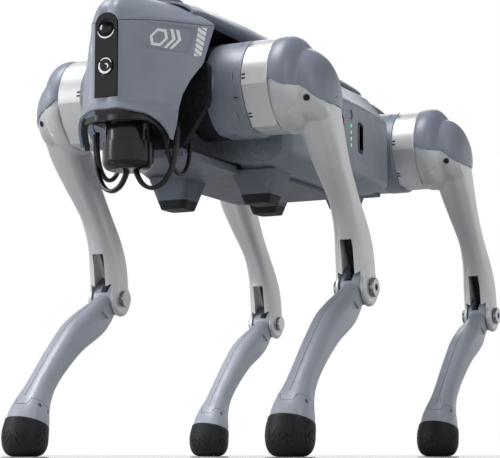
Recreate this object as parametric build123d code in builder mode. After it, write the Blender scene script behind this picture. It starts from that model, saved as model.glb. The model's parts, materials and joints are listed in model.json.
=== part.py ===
"""Four-legged walking robot, about the size of a small dog.

The trunk is a chassis with a hull, a top cover, a belly plate and a head on it. Each leg has
three powered joints: the hip rolls about a lengthwise axis, the thigh turns about a cross axis,
and a motor beside the thigh drives the knee through a crank and a rod inside the thigh.

Millimetres, +X forward, +Y to the robot's left, +Z up. The robot stands on Z = 0 and the origin
is below the middle of its overall box. Every piece is drawn with X = 0 midway between the hips,
and moved by middle_x when it is written. One leg is drawn, at the front left corner.
"""

import os
from math import cos, radians, sin, sqrt

from build123d import *

os.makedirs("parts", exist_ok=True)

# Driving dimensions -----------------------------------------------------------------------------

hip_spacing = 386.8  # from front to rear thigh axes
hip_height = 352.0
roll_axis_y = 46.5  # hip roll axis, each side of the middle
leg_y = 142.0  # middle plane of thigh, calf and foot
thigh_length = 213.0
calf_length = 213.0
thigh_lean = 29.0  # degrees behind vertical when standing
foot_radius = 23.0
foot_height = 22.0  # centre of the foot's ball above the ground, so that it rests on a small flat
middle_x = -14.0  # moves the middle of the hips so that the whole is centred on the origin

motor_radius = 46.5
housing_radius = 47.0
roll_motor_radius = 33.0
thigh_motor_y = (18.0, 50.0)
bracket_y = (50.0, 79.5)
ring_y = (80.0, 88.0)
knee_motor_y = (88.0, 115.0)
shoulder_end_y = 165.0

hull_end = 139.0
hull_half_width = 100.0
hull_bottom = 285.0
hull_tail_bottom = 296.0  # its underside rises to this at the rear
hull_top = 407.5
wall = 3.0

crank_arm = 15.0
crank_angle = 116.0  # degrees above forward, the way the crank and the calf's lever point
rod_y = (136.0, 143.0)
fork_y = (130.0, 154.0)
tongue_y = (131.0, 153.0)
pin_radius = 6.0
running_clearance = 0.05
gap = 0.4

# Places worked out from them --------------------------------------------------------------------

lean = radians(thigh_lean)
hip = (hip_spacing / 2, hip_height)
knee = (hip[0] - thigh_length * sin(lean), hip[1] - thigh_length * cos(lean))
foot_reach = sqrt(calf_length**2 - (knee[1] - foot_height) ** 2)
foot = (knee[0] + foot_reach, foot_height)
lever = (crank_arm * cos(radians(crank_angle)), crank_arm * sin(radians(crank_angle)))
thigh_slope = 90.0 - thigh_lean  # degrees above forward, looking up the thigh
ankle_tilt = radians(20.0)
ankle = Plane(
    origin=(foot[0] - 3.5, leg_y, foot[1] + 9.5),
    x_dir=(0, 1, 0),
    z_dir=(-sin(ankle_tilt), 0, cos(ankle_tilt)),
)
cap_seam = Plane(origin=(hip[0], 115.0, 350.0), x_dir=(1, 0, 0), z_dir=(0, 0.355, 0.935))


def shifted(point, step):
    return (point[0] + step[0], point[1] + step[1])


# Helpers ----------------------------------------------------------------------------------------


def side_plane(y):
    """A plane across the body at y: its own x is forward and its own y is up."""
    return Plane.XZ.offset(-y)


def disc(centre, radius, span, mode=Mode.ADD):
    """A cylinder about a cross axis, over the span of Y given."""
    with BuildSketch(side_plane(span[0])) as profile:
        with Locations(centre):
            Circle(radius)
    extrude(profile.sketch, amount=span[0] - span[1], mode=mode)


def axle(y, z, radius, span, mode=Mode.ADD):
    """A cylinder about a lengthwise axis, over the span of X given."""
    with BuildSketch(Plane.YZ.offset(span[0])) as profile:
        with Locations((y, z)):
            Circle(radius)
    extrude(profile.sketch, amount=span[1] - span[0], mode=mode)


def block(x, y, z, mode=Mode.ADD):
    """A box between the low and high values given for each axis."""
    with BuildSketch(Plane.XY.offset(z[0])) as profile:
        with Locations(((x[0] + x[1]) / 2, (y[0] + y[1]) / 2)):
            Rectangle(x[1] - x[0], y[1] - y[0])
    extrude(profile.sketch, amount=z[1] - z[0], mode=mode)


def bar(start, angle, length, width, span, mode=Mode.ADD):
    """A flat bar in the plane of the leg, from start along the angle given."""
    reach = (cos(radians(angle)) * length / 2, sin(radians(angle)) * length / 2)
    with BuildSketch(side_plane(span[0])) as profile:
        with Locations(shifted(start, reach)):
            Rectangle(length, width, rotation=angle)
    extrude(profile.sketch, amount=span[0] - span[1], mode=mode)


def limb(stations):
    """Loft along a bent centreline. A station is (x, z, depth, width), width across the leg."""
    sections = []
    last = len(stations) - 1
    for index, (x, z, depth, width) in enumerate(stations):
        before = stations[max(index - 1, 0)]
        after = stations[min(index + 1, last)]
        along = (after[0] - before[0], 0, after[1] - before[1])
        plane = Plane(origin=(x, leg_y, z), x_dir=(0, 1, 0), z_dir=along)
        with BuildSketch(plane) as section:
            RectangleRounded(width, depth, radius=0.44 * min(width, depth))
        sections.append(section.sketch.face())
    loft(sections)


def write(shape, name):
    placed = Pos(middle_x, 0, 0) * shape
    placed.label = name
    export_step(placed, f"parts/{name}.step")


def write_leg_piece(shape, name, faces_middle=False):
    """Write a piece of the front left leg for all four. One that faces the middle of the trunk
    is a mirror image on the rear legs, and any other is the same."""
    front = shape
    if faces_middle:
        rear = mirror(shape, about=Plane.YZ)
    else:
        rear = Pos(-hip_spacing, 0, 0) * shape
    for end, piece in (("front", front), ("rear", rear)):
        write(piece, f"{end}_left_{name}")
        write(mirror(piece, about=Plane.XZ), f"{end}_right_{name}")


# Hip: thigh motor and the bracket that rolls with it ---------------------------------------------

with BuildPart() as thigh_motor:
    disc(hip, motor_radius, thigh_motor_y)
    chamfer(thigh_motor.edges().filter_by(GeomType.CIRCLE).sort_by(Axis.Y)[0], 9)
    disc(hip, 30, (16.6, 18.4))
write_leg_piece(thigh_motor.part, "thigh_motor")

roll_flange = (hull_end + 1.2, hip[0] - 28)
roll_stub = (hip[0] + 28, hip[0] + 54)
roll_shaft_radius = 12.0
roll_pin_radius = 8.0

with BuildPart() as hip_bracket:
    disc(hip, housing_radius, bracket_y)
    fillet(hip_bracket.edges().filter_by(GeomType.CIRCLE).sort_by(Axis.Y)[-1], 1.5)
    axle(roll_axis_y, hip_height, 26, roll_flange)
    axle(roll_axis_y, hip_height, 14, roll_stub)
    disc(hip, motor_radius + gap, (0, bracket_y[0]), mode=Mode.SUBTRACT)
    # underside flat with a thin lip, and the bore that the turning ring runs in
    block((hip[0] - 30, hip[0] + 30), (49, 80), (290, hip_height - 44.5), mode=Mode.SUBTRACT)
    disc(hip, 24 + running_clearance, (66, bracket_y[1] + 1), mode=Mode.SUBTRACT)
    axle(
        roll_axis_y,
        hip_height,
        roll_shaft_radius + running_clearance,
        (roll_flange[0] - 1, roll_flange[0] + 6),
        mode=Mode.SUBTRACT,
    )
    axle(
        roll_axis_y,
        hip_height,
        roll_pin_radius + running_clearance,
        (roll_stub[1] - 6.5, roll_stub[1] + 1),
        mode=Mode.SUBTRACT,
    )
write_leg_piece(hip_bracket.part, "hip_bracket", faces_middle=True)

# Thigh: ring, knee motor, shell and cap ----------------------------------------------------------

pocket_count = 6

with BuildPart() as motor_ring:
    disc(hip, housing_radius, ring_y)
    disc(hip, 24, (67, ring_y[0]))
    for turn in range(pocket_count):
        angle = 360 / pocket_count * turn + 18
        outward = (cos(radians(angle)), 0, sin(radians(angle)))
        rim = (
            hip[0] + outward[0] * (housing_radius - 1.6),
            (ring_y[0] + ring_y[1]) / 2,
            hip[1] + outward[2] * (housing_radius - 1.6),
        )
        with BuildSketch(Plane(origin=rim, x_dir=(0, 1, 0), z_dir=outward)) as pocket:
            Ellipse(2.6, 8.5)
        extrude(pocket.sketch, amount=6, mode=Mode.SUBTRACT)
write_leg_piece(motor_ring.part, "motor_ring")

with BuildPart() as knee_motor:
    disc(hip, housing_radius, knee_motor_y)
    fillet(knee_motor.edges().filter_by(GeomType.CIRCLE).sort_by(Axis.Y)[0], 0.8)
    disc(hip, 8 + running_clearance, (105.5, knee_motor_y[1] + 1), mode=Mode.SUBTRACT)
write_leg_piece(knee_motor.part, "knee_motor")

shoulder_rings = (  # y, radius, and the centre's offset from the hip
    (115.0, 47.0, (0, 0)),
    (123.0, 48.0, (0, 0)),
    (134.0, 46.5, (-1, -1)),
    (146.0, 41.5, (-3, -4)),
    (157.0, 32.0, (-6, -9)),
    (shoulder_end_y, 18.0, (-8, -14)),
)
core_rings = (
    ((115.0, 132.0), 41.0, (0, 0)),
    ((132.0, 146.0), 35.0, (-1, -2)),
    ((146.0, 155.0), 26.0, (-5, -8)),
)


def shoulder_form(inset=0.0, mode=Mode.ADD):
    """The rounded outside of the shoulder, or what is left of it inside a wall."""
    sections = []
    for y, radius, drift in shoulder_rings:
        with BuildSketch(side_plane(min(y, shoulder_end_y - inset))) as section:
            with Locations(shifted(hip, drift)):
                Circle(radius - inset)
        sections.append(section.sketch.face())
    loft(sections, mode=mode)


with BuildPart() as shoulder_cap:
    shoulder_form()
    split(bisect_by=cap_seam, keep=Keep.TOP)
    shoulder_form(inset=wall, mode=Mode.SUBTRACT)
write_leg_piece(shoulder_cap.part, "shoulder_cap")

thigh_stations = (
    (182, 334, 46, 30),
    (170, 309, 42, 29),
    (153, 288, 37, 27.5),
    (137, 271, 34, 26.5),
    (124, 256, 32.5, 26),
    (112, 239, 32, 26),
    (101.5, 222, 33, 27.5),
    (95, 204, 36, 31),
    (91.5, 185, 38, 34.5),
    (knee[0], knee[1], 38, 35.5),
)
rod_channel = (11.4, 15.6)  # how far behind the line from hip to knee its middle is, and its width

with BuildPart() as thigh_shell:
    shoulder_form()
    split(bisect_by=cap_seam, keep=Keep.BOTTOM)
    for span, radius, drift in core_rings:
        disc(shifted(hip, drift), radius, span)
    limb(thigh_stations)
    disc(knee, 19, (124.25, 159.75))
    # well for the crank, with the motor's shaft through its inner wall
    disc(hip, 22, (118.5, 145.5), mode=Mode.SUBTRACT)
    disc(hip, 10, (114, 119), mode=Mode.SUBTRACT)
    # channel for the rod, behind the straight line from hip to knee
    channel_top = shifted(hip, (-rod_channel[0] * cos(lean), rod_channel[0] * sin(lean)))
    channel_span = (rod_y[0] - 1.2, rod_y[1] + 1.2)
    bar(channel_top, thigh_slope + 180, 200, rod_channel[1], channel_span, mode=Mode.SUBTRACT)
    # fork for the calf: round behind the knee, and open in front as far as the slot's top
    disc(knee, 23.5, fork_y, mode=Mode.SUBTRACT)
    slot_start = shifted(knee, (16 * cos(lean), -16 * sin(lean)))
    bar(slot_start, thigh_slope, 46, 38, fork_y, mode=Mode.SUBTRACT)
    disc(knee, pin_radius + 0.1, (120, 164), mode=Mode.SUBTRACT)
write_leg_piece(thigh_shell.part, "thigh_shell")

with BuildPart() as knee_pin:
    disc(knee, pin_radius, (122.5, 161))
    disc(knee, 9.5, (160, 163.5))
    disc(knee, 8.5, (121, 124))
    fillet(knee_pin.edges().filter_by(GeomType.CIRCLE).sort_by(Axis.Y)[-1], 1)
    with BuildSketch(side_plane(161.5)) as socket:
        with Locations(knee):
            RegularPolygon(4, 6)
    extrude(socket.sketch, amount=-3, mode=Mode.SUBTRACT)
write_leg_piece(knee_pin.part, "knee_pin")

# Knee drive: crank and rod -----------------------------------------------------------------------

crank_pin = shifted(hip, lever)
lever_pin = shifted(knee, lever)
crank_pin_radius = 2.5
eye_radius = 5.5

with BuildPart() as knee_crank:
    disc(hip, 8, (106, 124.5))
    with BuildSketch(side_plane(124)) as arm:
        with Locations(hip):
            Circle(9)
        with Locations(crank_pin):
            Circle(eye_radius)
        make_hull()
    extrude(arm.sketch, amount=-(rod_y[0] - 0.5 - 124))
    disc(crank_pin, crank_pin_radius, (rod_y[0] - 1, rod_y[1] + 0.8))
write_leg_piece(knee_crank.part, "knee_crank")

with BuildPart() as knee_rod:
    disc(crank_pin, eye_radius, rod_y)
    disc(lever_pin, eye_radius, rod_y)
    bar(lever_pin, thigh_slope, thigh_length, 6, rod_y)
    disc(crank_pin, crank_pin_radius + running_clearance, (130, 150), mode=Mode.SUBTRACT)
    disc(lever_pin, 3.0, (130, 150), mode=Mode.SUBTRACT)
write_leg_piece(knee_rod.part, "knee_rod")

# Calf and foot -----------------------------------------------------------------------------------

calf_stations = (
    (100, 158, 28, 21.6),
    (109, 149.5, 34, 21.8),
    (121, 140.5, 39, 31),
    (137, 131, 42, 38),
    (158, 119.5, 41, 37),
    (176.5, 107, 35, 32),
    (194.5, 94, 29.5, 28),
    (209, 81, 27, 25.5),
    (220, 69.5, 27.5, 25.5),
    (228, 59, 30, 28),
    (235.5, 48.5, 35, 33),
    (240.5, 39, 39, 38),
    (245, 27, 41, 41),
)
rod_swing = (-8, 15, 38, 61, 88)  # degrees: ways the rod leaves the lever as the knee turns

with BuildPart() as calf:
    limb(calf_stations)
    split(bisect_by=ankle, keep=Keep.TOP)
    with BuildSketch(side_plane(tongue_y[0])) as tongue:
        with Locations(knee):
            Circle(17)
        with Locations(lever_pin):
            Circle(7)
        make_hull()
    extrude(tongue.sketch, amount=tongue_y[0] - tongue_y[1])
    disc(lever_pin, 6.5, (rod_y[0] - 1, rod_y[1] + 1), mode=Mode.SUBTRACT)
    for angle in rod_swing:
        bar(lever_pin, angle, 27, 8, (rod_y[0] - 1, rod_y[1] + 1), mode=Mode.SUBTRACT)
    disc(lever_pin, 2.6, (rod_y[0] - 1.5, rod_y[1] + 1.5))
    disc(knee, pin_radius + running_clearance, (120, 164), mode=Mode.SUBTRACT)
write_leg_piece(calf.part, "calf")

with BuildPart() as foot_pad:
    with Locations((foot[0], leg_y, foot[1])):
        Sphere(foot_radius)
    split(bisect_by=ankle, keep=Keep.BOTTOM)
    split(bisect_by=Plane.XY, keep=Keep.TOP)
write_leg_piece(foot_pad.part, "foot_pad")

# Trunk: hull, chassis and roll motors ------------------------------------------------------------

hull_stations = (  # x, half width, height of the underside
    (-128, 90.5, hull_tail_bottom),
    (-64, 98, hull_bottom + 1),
    (0, hull_half_width, hull_bottom),
    (64, 98, hull_bottom),
    (128, 90.5, hull_bottom),
)


def hull_section(x, half_width, bottom, inset=0.0):
    """One section of the hull: upright sides, with slopes to a flat top and bottom."""
    outline = (
        (-74, bottom),
        (74, bottom),
        (half_width, 299),
        (half_width, 374),
        (64, hull_top),
        (-64, hull_top),
        (-half_width, 374),
        (-half_width, 299),
    )
    with BuildSketch(Plane.YZ.offset(x)) as section:
        with BuildLine():
            Polyline(*outline, close=True)
        make_face()
        fillet(section.vertices(), 9)
        if inset:
            offset(amount=-inset, mode=Mode.REPLACE)
    return section.sketch.face()


def hull_form():
    """The outside of the hull, with its two ends drawn in."""
    loft([hull_section(*station) for station in hull_stations])
    for side, (x, half_width, bottom) in ((-1, hull_stations[0]), (1, hull_stations[-1])):
        start = hull_section(x, half_width, bottom)
        end = hull_section(side * hull_end, half_width, bottom, inset=7)
        loft([start, end], ruled=True)


battery_half = 64.0
battery_z = (295.0, 377.0)
battery_depth_y = 66.0  # how far past the middle the battery reaches
door_y = 70.0  # inside the hull's left wall, where the battery's doorway starts


def battery_outline(inset=0.0):
    """Eight-sided outline of the battery's outer face."""
    low, high = battery_z
    outline = (
        (-40, low),
        (40, low),
        (battery_half, low + 22),
        (battery_half, high - 14),
        (48, high),
        (-48, high),
        (-battery_half, high - 14),
        (-battery_half, low + 22),
    )
    with BuildSketch(side_plane(door_y)) as profile:
        with BuildLine():
            Polyline(*outline, close=True)
        make_face()
        fillet(profile.vertices(), 5)
        if inset:
            offset(amount=-inset, mode=Mode.REPLACE)
    return profile.sketch


keel_z = (hull_bottom + 3.6, hull_bottom + 6)

with BuildPart() as trunk_shell:
    hull_form()
    inner = [hull_section(*station, inset=wall) for station in hull_stations]
    loft(inner, mode=Mode.SUBTRACT)
    # doorway for the battery, holes for the roll flanges, and a notch for the keel
    extrude(battery_outline(), amount=-40, mode=Mode.SUBTRACT)
    for side in (-1, 1):
        wall_span = sorted((side * (hull_end + 1), side * 127))
        for y in (-roll_axis_y, roll_axis_y):
            axle(y, hip_height, 28, wall_span, mode=Mode.SUBTRACT)
    block((127, hull_end + 1), (-36, 36), (hull_bottom - 1, keel_z[1] + 1), mode=Mode.SUBTRACT)
write(trunk_shell.part, "trunk_shell")

carrier_x = (78.0, 126.5)
end_plate_x = (hip[0] + 55.2, hip[0] + 63)

floor_z = (292.3, battery_z[0] - gap)
step_x = 78.0

with BuildPart() as chassis:
    block((-step_x, carrier_x[1]), (-70, 70), floor_z)
    block((-step_x - 4, -step_x), (-70, 70), (floor_z[0], 304))
    for side in (-1, 1):
        span = sorted((side * carrier_x[0], side * carrier_x[1]))
        block(span, (-83, 83), (303, 368))
        block(span, (-70, 70), (floor_z[0] if side > 0 else 300, 304))
        for y in (-roll_axis_y, roll_axis_y):
            axle(y, hip_height, roll_motor_radius + 0.1, (span[0] - 1, span[1] + 1), Mode.SUBTRACT)
    # keel under the front hips, and the plate beyond them that carries their far bearings
    block((100, carrier_x[1]), (-34, 34), (keel_z[0], floor_z[1]))
    block((100, end_plate_x[1]), (-34, 34), keel_z)
    with BuildSketch(Plane.YZ.offset(end_plate_x[0])) as profile:
        with BuildLine():
            Polyline(
                (-34, keel_z[0]), (34, keel_z[0]), (62, 330), (62, 372), (-62, 372), (-62, 330), close=True
            )
        make_face()
        fillet(profile.vertices().group_by(Axis.Z)[-1], 10)
    extrude(profile.sketch, amount=end_plate_x[1] - end_plate_x[0])
    for y in (-roll_axis_y, roll_axis_y):
        axle(y, hip_height, roll_pin_radius, (end_plate_x[0] - 7.5, end_plate_x[0]))
    # shelf that carries the head and the lidar
    block((end_plate_x[1] - 1, 308), (-34, 34), (308, 313))
write(chassis.part, "chassis")

with BuildPart() as roll_motors:
    for side in (-1, 1):
        body = sorted((side * 72, side * hull_stations[-1][0]))
        shaft = sorted((side * hull_stations[-1][0], side * (roll_flange[0] + 5.5)))
        for y in (-roll_axis_y, roll_axis_y):
            axle(y, hip_height, roll_motor_radius, body)
            axle(y, hip_height, roll_shaft_radius, shaft)
write(roll_motors.part, "roll_motors")

# Battery and its button --------------------------------------------------------------------------

button_place = (0.0, 361.0)

with BuildPart() as battery_pack:
    hull_form()
    extrude(battery_outline(inset=gap), amount=-40, mode=Mode.INTERSECT)
    extrude(battery_outline(inset=2 * gap), amount=door_y + battery_depth_y)
    # two finger grips and the button's well
    for side in (-1, 1):
        with BuildSketch(side_plane(86)) as grip:
            with Locations((side * 27, 340)):
                RectangleRounded(17, 34, 5)
        extrude(grip.sketch, amount=-20, mode=Mode.SUBTRACT)
    disc(button_place, 5.4, (90, 110), mode=Mode.SUBTRACT)
write(battery_pack.part, "battery_pack")

with BuildPart() as power_button:
    disc(button_place, 5.0, (91.5, 98.6))
    fillet(power_button.edges().filter_by(GeomType.CIRCLE).sort_by(Axis.Y)[-1], 0.8)
write(power_button.part, "power_button")

# Belly plate with four stub feet -----------------------------------------------------------------

belly_z = 281.0
belly_back = -60.0
stub_y = 48.0
stub_rows = (  # x, heights of the stub's top, of its rubber pad's top and of its foot
    (112.0, hull_bottom, 261.5, 252.5),
    (-103.0, 297.0, 284.5, 275.5),
)
stub_size = (29.0, 28.0)
stub_growth = 0.6  # how much wider a stub is for each millimetre further up


def stub_plan(x, y, z, foot):
    """A stub's section at a height, given the height of its foot."""
    grow = stub_growth * (z - foot)
    with BuildSketch(Plane.XY.offset(z)) as plan:
        with Locations((x, y)):
            RectangleRounded(stub_size[0] + grow, stub_size[1] + grow, 6)
    return plan.sketch.face()


with BuildPart() as hull_blank:
    hull_form()

with BuildPart() as belly_plate:
    with BuildSketch(Plane.XY.offset(belly_z)) as plan:
        with Locations(((belly_back + 138) / 2, 0)):
            Rectangle(138 - belly_back, 2 * 62)
        with Locations((end_plate_x[1] / 2, 0)):
            Rectangle(end_plate_x[1], 2 * 36)
        fillet(plan.vertices().filter_by(lambda v: abs(v.Y) > 60), 20)
    extrude(plan.sketch, amount=hull_bottom - belly_z)
    block((140, end_plate_x[1]), (-34, 34), (hull_bottom, keel_z[0]))
    for x, top, pad_top, foot in stub_rows:
        for y in (-stub_y, stub_y):
            loft([stub_plan(x, y, pad_top, foot), stub_plan(x, y, top, foot)], ruled=True)
    add(hull_blank.part, mode=Mode.SUBTRACT)
write(belly_plate.part, "belly_plate")

with BuildPart() as stub_pads:
    for x, top, pad_top, foot in stub_rows:
        for y in (-stub_y, stub_y):
            loft([stub_plan(x, y, foot, foot), stub_plan(x, y, pad_top, foot)], ruled=True)
        fillet(stub_pads.edges().filter_by_position(Axis.Z, foot - 0.1, foot + 0.1), 1.5)
write(stub_pads.part, "stub_pads")

# Head --------------------------------------------------------------------------------------------

head_back = 254.0
window_half = 12.0
window_z = (325.0, 404.0)
head_seam_z = 394.0

nose_half = (  # half of the head's plan higher up: a wedge with a narrow flat front
    (338.0, window_half + 1),
    (325.0, 24.5),
    (304.6, 38.0),
    (280.0, 54.0),
    (head_back, 69.5),
)
lip_half = (  # half of its plan at the lip: rounder
    (341.0, 14.0),
    (331.0, 31.0),
    (314.0, 44.0),
    (290.0, 53.5),
    (head_back, 60.0),
)


def head_plan(z, flare=0.0, stretch=1.0, spread=1.0, inset=0.0):
    """Plan of the head at height z. Flare 0 is the wedge and flare 1 is the lip. Inset draws the
    front and the sides in and leaves the back where it is."""
    right = []
    for (x_nose, y_nose), (x_lip, y_lip) in zip(nose_half, lip_half):
        x = x_nose + (x_lip - x_nose) * flare
        y = y_nose + (y_lip - y_nose) * flare
        x = head_back + (x - head_back) * (stretch - inset / (nose_half[0][0] - head_back))
        right.append((x, -y * (spread - 1.3 * inset / nose_half[-1][1])))
    left = [(x, -y) for x, y in right]
    with BuildSketch(Plane.XY.offset(z)) as plan:
        with BuildLine():
            Spline(*right)
            Spline(*left)
            Line(right[0], left[0])
            Line(right[-1], left[-1])
        make_face()
    return plan.sketch.face()


head_levels = (  # z, flare
    (286.0, 1.15),
    (304.0, 1.0),
    (318.0, 0.72),
    (345.0, 0.35),
    (372.0, 0.10),
    (head_seam_z, 0.0),
)
dome = (  # z, stretch, spread
    (head_seam_z, 1.0, 1.0),
    (404.0, 0.985, 0.985),
    (414.0, 0.94, 0.93),
    (423.0, 0.85, 0.82),
    (430.0, 0.70, 0.64),
    (434.0, 0.48, 0.42),
)

with BuildPart() as window_blank:
    with BuildSketch(Plane.YZ.offset(330)) as pill:
        with Locations((0, (window_z[0] + window_z[1] - window_half) / 2)):
            Rectangle(2 * window_half, window_z[1] - window_z[0] - window_half)
        with Locations((0, window_z[1] - window_half)):
            Circle(window_half)
    extrude(pill.sketch, amount=9.6)

with BuildPart() as head_shell:
    loft([head_plan(z, flare) for z, flare in head_levels])
    above = head_seam_z + 1
    inside = [(head_levels[0][0] - 1, head_levels[0][1]), *head_levels[1:-1], (above, 0.0)]
    loft([head_plan(z, flare, inset=wall) for z, flare in inside], mode=Mode.SUBTRACT)
    # the sides stop at an arch that leans back as it rises
    with BuildSketch(side_plane(-90)) as arch:
        with BuildLine():
            Line((240, 400), (258, 400))
            Line((258, 400), (271.5, 363.5))
            Spline((271.5, 363.5), (283, 347), (291.7, 332), (296, 315), (299, 285))
            Line((299, 285), (240, 285))
            Line((240, 285), (240, 400))
        make_face()
    extrude(arch.sketch, amount=-180, mode=Mode.SUBTRACT)
    # the lip rises from the sides to the front
    with BuildSketch(side_plane(-90)) as below:
        with BuildLine():
            Polyline((290, 280), (360, 280), (360, 317.5), (298, 290), (290, 290), close=True)
        make_face()
    extrude(below.sketch, amount=-180, mode=Mode.SUBTRACT)
    add(window_blank.part, mode=Mode.SUBTRACT)
write(head_shell.part, "head_shell")

lens_z, lamp_z = 389.6, 354.0
lens_radius, lamp_radius = 8.0, 8.5

with BuildPart() as head_window:
    with BuildSketch(Plane.YZ.offset(333)) as pill:
        with Locations((0, (window_z[0] + window_z[1] - window_half) / 2)):
            Rectangle(2 * window_half - 0.6, window_z[1] - window_z[0] - window_half - 0.3)
        with Locations((0, window_z[1] - window_half)):
            Circle(window_half - 0.3)
    extrude(pill.sketch, amount=6.2)
    for z, radius in ((lens_z, lens_radius), (lamp_z, lamp_radius)):
        axle(0, z, radius + 0.2, (332, 341), mode=Mode.SUBTRACT)
write(head_window.part, "head_window")

with BuildPart() as camera_lenses:
    for z, radius in ((lens_z, lens_radius), (lamp_z, lamp_radius)):
        axle(0, z, radius, (326, 338.4))
        axle(0, z, radius - 1.8, (338, 340))
write(camera_lenses.part, "camera_lenses")

# Top cover, from the head's crown to the tail ----------------------------------------------------

crown_stations = (  # x, half width, height of the edge, height of the ridge
    (-262, 44, 405, 414),
    (-240, 45, 411, 422),
    (-205, 44, 413, 426.5),
    (-165, 45, 413.5, 428),
    (-125, 60, 411.5, 430),
    (0, 64, 411.5, 434),
    (120, 63, 413, 440),
    (165, 52, 419, 441),
    (210, 50, 420, 438),
    (258, 50, 420, 435),
)


def crown_section(x, half_width, edge_z, ridge_z):
    with BuildSketch(Plane.YZ.offset(x)) as section:
        with BuildLine():
            ThreePointArc((-half_width, edge_z), (0, ridge_z), (half_width, edge_z))
            Line((half_width, edge_z), (half_width, edge_z - 3))
            ThreePointArc((half_width, edge_z - 3), (0, ridge_z - 4), (-half_width, edge_z - 3))
            Line((-half_width, edge_z - 3), (-half_width, edge_z))
        make_face()
    return section.sketch.face()


puck_x, puck_radius = 227.0, 18.0
puck_z = (433.0, 441.0)

with BuildPart() as head_crown:
    loft([head_plan(z, 0, stretch, spread) for z, stretch, spread in dome])
    inside = [head_plan(z, 0, stretch, spread, wall) for z, stretch, spread in dome[:-1]]
    loft(inside, mode=Mode.SUBTRACT)
    # room for the end of the cover, which lies over the middle of the crown
    x_last, half_last, edge_last, ridge_last = crown_stations[-1]
    block((head_back - 1, x_last + gap), (-half_last - 2, half_last + 2), (edge_last - 8, 450), Mode.SUBTRACT)
    add(window_blank.part, mode=Mode.SUBTRACT)
write(head_crown.part, "head_crown")

with BuildPart() as top_cover:
    loft([crown_section(*station) for station in crown_stations])
    # tail wall
    with BuildSketch(Plane.YZ.offset(-266)) as tail:
        with Locations((0, 352)):
            RectangleRounded(88, 112, 18)
    extrude(tail.sketch, amount=4)
    add(window_blank.part, mode=Mode.SUBTRACT)
    with BuildSketch(Plane.XY.offset(puck_z[0])) as seat:
        with Locations((puck_x, 0)):
            Circle(puck_radius + gap)
    extrude(seat.sketch, amount=20, mode=Mode.SUBTRACT)
write(top_cover.part, "top_cover")

with BuildPart() as antenna_puck:
    with BuildSketch(Plane.XY.offset(puck_z[0])) as plan:
        with Locations((puck_x, 0)):
            Circle(puck_radius)
    extrude(plan.sketch, amount=puck_z[1] - puck_z[0])
    fillet(antenna_puck.edges().group_by(Axis.Z)[-1], 3)
write(antenna_puck.part, "antenna_puck")

# Lidar and its cage ------------------------------------------------------------------------------

lidar_x = 297.0
spindle_radius = 6.0


def drum(radius, span, mode=Mode.ADD):
    """A cylinder about the lidar's upright axis."""
    with BuildSketch(Plane.XY.offset(span[0])) as profile:
        with Locations((lidar_x, 0)):
            Circle(radius)
    extrude(profile.sketch, amount=span[1] - span[0], mode=mode)


with BuildPart() as lidar_housing:
    drum(22, (289, 308))
    drum(spindle_radius, (272, 290))
write(lidar_housing.part, "lidar_housing")

with BuildPart() as lidar_rotor:
    drum(24, (263, 288.4))
    fillet(lidar_rotor.edges().group_by(Axis.Z)[0], 8)
    drum(spindle_radius + running_clearance, (271, 290), mode=Mode.SUBTRACT)
write(lidar_rotor.part, "lidar_rotor")

hoops = (  # y, centre x, half length, half height
    (16, 302, 43, 31),
    (38, 290, 30, 27),
)
hoop_centre_z = 283.0
hoop_depth, hoop_width = 5.0, 5.0

with BuildPart() as lidar_cage:
    for y, x, long, tall in hoops:
        for side in (-1, 1):
            with BuildSketch(side_plane(side * y - hoop_width / 2)) as hoop:
                with Locations((x, hoop_centre_z)):
                    Ellipse(long, tall)
                    Ellipse(long - hoop_depth, tall - hoop_depth, mode=Mode.SUBTRACT)
                with Locations((x, 330)):
                    Rectangle(200, 2 * (330 - 303), mode=Mode.SUBTRACT)
            extrude(hoop.sketch, amount=-hoop_width)
    # crossbars under the hoops, and the band that hangs them from the head
    block((293, 303), (-40, 40), (hoop_centre_z - 31, hoop_centre_z - 26.2))
    with BuildSketch(Plane.XY.offset(298.5)) as band:
        with Locations((290, 0)):
            Ellipse(43, 45)
            Ellipse(36, 39, mode=Mode.SUBTRACT)
    extrude(band.sketch, amount=5.2)
    block((240, end_plate_x[1] + 2), (-50, 50), (297, 305), mode=Mode.SUBTRACT)
write(lidar_cage.part, "lidar_cage")
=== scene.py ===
"""Looks for the four-legged robot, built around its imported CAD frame.

Shapes are drawn in millimetres and scaled when a mesh is made. Trunk pieces are drawn with x = 0
midway between the hips. Leg pieces are drawn once, with x = 0 at the hip and y outward from the
robot's middle, and stamped on all four legs.
"""

import json
import math

import bmesh
import bpy
from mathutils import Matrix, Vector


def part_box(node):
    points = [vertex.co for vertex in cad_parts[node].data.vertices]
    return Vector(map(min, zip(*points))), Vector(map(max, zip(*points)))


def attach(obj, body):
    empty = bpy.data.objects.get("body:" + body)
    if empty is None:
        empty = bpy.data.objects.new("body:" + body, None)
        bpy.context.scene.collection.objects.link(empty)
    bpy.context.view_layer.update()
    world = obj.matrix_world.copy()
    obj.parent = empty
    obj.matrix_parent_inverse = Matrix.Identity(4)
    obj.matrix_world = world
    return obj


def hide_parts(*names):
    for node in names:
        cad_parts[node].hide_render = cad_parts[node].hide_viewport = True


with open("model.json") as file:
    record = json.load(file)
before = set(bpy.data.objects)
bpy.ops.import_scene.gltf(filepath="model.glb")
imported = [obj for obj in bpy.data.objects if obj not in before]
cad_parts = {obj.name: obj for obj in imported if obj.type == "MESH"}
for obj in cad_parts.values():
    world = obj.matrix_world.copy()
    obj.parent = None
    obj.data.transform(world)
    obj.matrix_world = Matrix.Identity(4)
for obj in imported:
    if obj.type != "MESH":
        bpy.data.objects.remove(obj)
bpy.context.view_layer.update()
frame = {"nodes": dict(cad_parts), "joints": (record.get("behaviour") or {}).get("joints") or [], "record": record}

MM = 0.001
LEGS = ("front_left", "front_right", "rear_left", "rear_right")
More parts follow.
